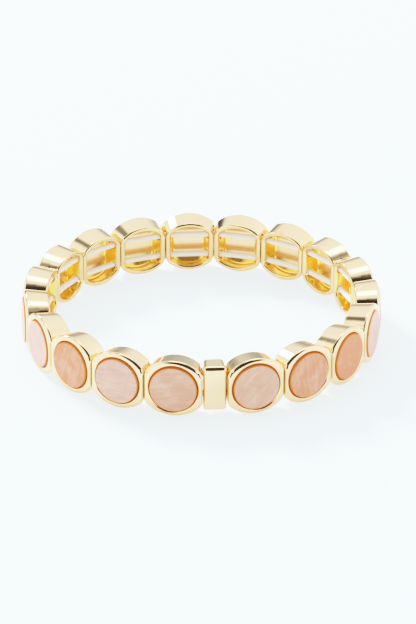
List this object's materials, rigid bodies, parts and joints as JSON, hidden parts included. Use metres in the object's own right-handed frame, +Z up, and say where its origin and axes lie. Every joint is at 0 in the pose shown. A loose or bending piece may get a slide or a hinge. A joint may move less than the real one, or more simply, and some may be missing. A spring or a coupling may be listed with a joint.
{
  "type": "stretch bracelet",
  "caption": "Stretch bracelet of open-backed gold bezel links with flat round stones and one plain bar link, carried on two elastic cords.",
  "frame": {"origin": "the middle of the ring, on the surface that it lies on", "axes": "+Z up, along the axis of the wrist opening; the bar link is at -Y; link_01 is the first link from the bar towards +X and the numbers run on round the ring"},
  "size_m": [0.0626, 0.0625, 0.0102],
  "materials": {
    "gold": "polished pale-gold plating on die-cast zinc alloy",
    "stone_blush": "flat satin-polished stone, cloudy dusty pink",
    "stone_peach": "flat satin-polished stone, streaked peach",
    "stone_apricot": "flat satin-polished stone, warm orange-peach",
    "stone_lilac": "flat satin-polished stone, pale lilac pink with whitish streaks",
    "elastic": "milky, slightly translucent jewellery elastic"
  },
  "bodies": {
    "root": {"link_01": "gold", "link_02": "gold", "link_03": "gold", "link_04": "gold", "link_05": "gold", "link_06": "gold", "link_07": "gold", "link_08": "gold", "link_09": "gold", "link_10": "gold", "link_11": "gold", "link_12": "gold", "link_13": "gold", "link_14": "gold", "link_15": "gold", "link_16": "gold", "link_17": "gold", "link_18": "gold", "link_19": "gold", "stone_01": "stone_blush", "stone_02": "stone_peach", "stone_03": "stone_apricot", "stone_04": "stone_lilac", "stone_05": "stone_lilac", "stone_06": "stone_peach", "stone_07": "stone_blush", "stone_08": "stone_lilac", "stone_09": "stone_apricot", "stone_10": "stone_blush", "stone_11": "stone_peach", "stone_12": "stone_lilac", "stone_13": "stone_blush", "stone_14": "stone_apricot", "stone_15": "stone_peach", "stone_16": "stone_lilac", "stone_17": "stone_apricot", "stone_18": "stone_lilac", "stone_19": "stone_blush", "bar_link": "gold", "upper_elastic": "elastic", "lower_elastic": "elastic"}
  },
  "joints": []
}
